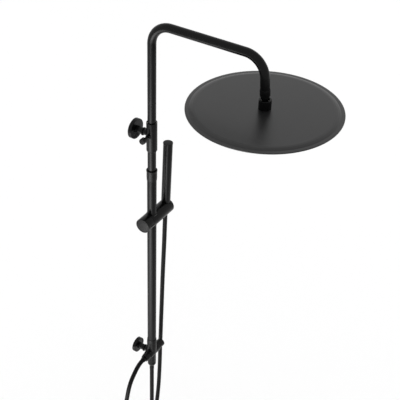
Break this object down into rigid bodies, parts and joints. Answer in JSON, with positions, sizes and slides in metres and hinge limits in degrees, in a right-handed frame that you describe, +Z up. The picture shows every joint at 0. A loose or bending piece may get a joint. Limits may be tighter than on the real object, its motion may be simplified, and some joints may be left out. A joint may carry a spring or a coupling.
{
  "type": "rainfall shower column",
  "caption": "Wall-hung shower column with swan arm, flat round overhead head on a ball joint, stick handset in a sliding cradle, hose and diverter.",
  "frame": {"origin": "centre of the upper wall base's flat face, where it lies against the wall", "axes": "+Z up along the column, +Y into the wall, +X to the right of somebody facing the wall; the arm points to -Y"},
  "size_m": [0.36, 0.5436, 1.6606],
  "materials": {
    "satin_black": "satin black coating",
    "head_black": "matt black coating",
    "hose_black": "smooth black PVC",
    "brass": "machined",
    "steel": "zinc plated",
    "nylon": "natural nylon",
    "rubber": "matt",
    "silicone": "dark grey silicone"
  },
  "bodies": {
    "column": {"upper_wall_base": "brass", "upper_wall_screw_left": "steel", "upper_wall_screw_right": "steel", "upper_rosette": "satin_black", "upper_stem": "satin_black", "upper_stem_ring": "satin_black", "lower_wall_base": "brass", "lower_wall_screw_left": "steel", "lower_wall_screw_right": "steel", "lower_rosette": "satin_black", "lower_stem": "satin_black", "lower_stem_ring": "satin_black", "bracket_sleeve": "satin_black", "sleeve_bush": "nylon", "rail_tube": "satin_black", "collar_bush": "nylon", "rail_socket_ring": "satin_black", "diverter_body": "satin_black", "diverter_cartridge": "brass", "outlet_nipple": "brass", "outlet_nut": "satin_black", "outlet_washer": "rubber", "outlet_ferrule": "hose_black", "inlet_nipple": "brass", "inlet_nut": "satin_black", "inlet_washer": "rubber", "inlet_ferrule": "hose_black", "shower_hose": "hose_black", "supply_hose": "hose_black", "supply_end_ferrule": "hose_black", "supply_end_nut": "satin_black", "supply_end_washer": "rubber"},
    "screw_pad": {"thumbscrew_pad": "nylon"},
    "screw": {"thumbscrew": "satin_black"},
    "piston": {"riser_piston": "brass", "riser_seal": "rubber"},
    "riser": {"riser_arm_tube": "satin_black", "arm_end_ring": "satin_black", "arm_ball": "brass"},
    "tilt_seat": {"ball_seat_lower": "rubber"},
    "roll_seat": {"ball_seat_upper": "nylon"},
    "head": {"head_ball_nut": "satin_black", "head_shell": "head_black", "spray_plate": "head_black", "nozzle_mat": "silicone"},
    "collar": {"telescopic_collar": "satin_black"},
    "slide": {"slider_bush": "nylon"},
    "slider": {"slider_body": "satin_black"},
    "locking_knob": {"slider_knob": "satin_black", "slider_knob_cap": "satin_black", "slider_clamp_screw": "brass"},
    "hose_cone": {"hose_cone_nut": "satin_black", "cone_washer": "rubber"},
    "handset": {"handset_body": "satin_black", "handset_top_cap": "satin_black", "handset_spray_strip": "silicone"},
    "selector": {"diverter_spindle": "brass", "diverter_knob": "satin_black", "diverter_knob_cap": "satin_black"}
  },
  "joints": [
    {"name": "thumbscrew_travel", "type": "slide", "parent": "column", "child": "screw_pad", "axis": [-1, 0, 0], "range_m": [0, 0.002]},
    {"name": "thumbscrew_turn", "type": "hinge", "parent": "screw_pad", "child": "screw", "pos_m": [0, -0.055, 0], "axis": [-1, 0, 0], "range_deg": [0, 720]},
    {"name": "riser_height", "type": "slide", "parent": "column", "child": "piston", "axis": [0, 0, 1], "range_m": [-0.15, 0.15]},
    {"name": "arm_swivel", "type": "hinge", "parent": "piston", "child": "riser", "pos_m": [0, -0.055, 0.305], "axis": [0, 0, 1], "range_deg": [-60, 60]},
    {"name": "head_tilt", "type": "hinge", "parent": "riser", "child": "tilt_seat", "pos_m": [0, -0.36362, 0.193], "axis": [1, 0, 0], "range_deg": [-14, 5]},
    {"name": "head_roll", "type": "hinge", "parent": "tilt_seat", "child": "roll_seat", "pos_m": [0, -0.36362, 0.193], "axis": [0, 1, 0], "range_deg": [-8, 8]},
    {"name": "head_turn", "type": "hinge", "parent": "roll_seat", "child": "head", "pos_m": [0, -0.36362, 0.193], "axis": [0, 0, 1], "continuous": true},
    {"name": "collar_turn", "type": "hinge", "parent": "column", "child": "collar", "pos_m": [0, -0.055, -0.122], "axis": [0, 0, 1], "range_deg": [0, 180]},
    {"name": "slider_height", "type": "slide", "parent": "column", "child": "slide", "axis": [0, 0, 1], "range_m": [-0.35, 0.09], "deforming": ["shower_hose"]},
    {"name": "slider_swivel", "type": "hinge", "parent": "slide", "child": "slider", "pos_m": [0, -0.055, -0.263], "axis": [0, 0, 1], "range_deg": [-90, 20], "deforming": ["shower_hose"]},
    {"name": "locking_knob_turn", "type": "hinge", "parent": "slider", "child": "locking_knob", "pos_m": [-0.03, -0.055, -0.263], "axis": [1, 0, 0], "range_deg": [0, 180]},
    {"name": "handset_lift", "type": "slide", "parent": "slider", "child": "hose_cone", "axis": [0, -0.0279, 0.9996], "range_m": [0, 0.06], "deforming": ["shower_hose"]},
    {"name": "handset_spin", "type": "hinge", "parent": "hose_cone", "child": "handset", "pos_m": [0.065, -0.055, -0.263], "axis": [0, -0.0279, 0.9996], "continuous": true},
    {"name": "diverter_turn", "type": "hinge", "parent": "column", "child": "selector", "pos_m": [0.03, -0.055, -0.755], "axis": [1, 0, 0], "range_deg": [0, 180]}
  ],
  "couplings": [
    {"joint": "thumbscrew_turn", "follows": "thumbscrew_travel", "rad_per_m": 6283.1}
  ]
}
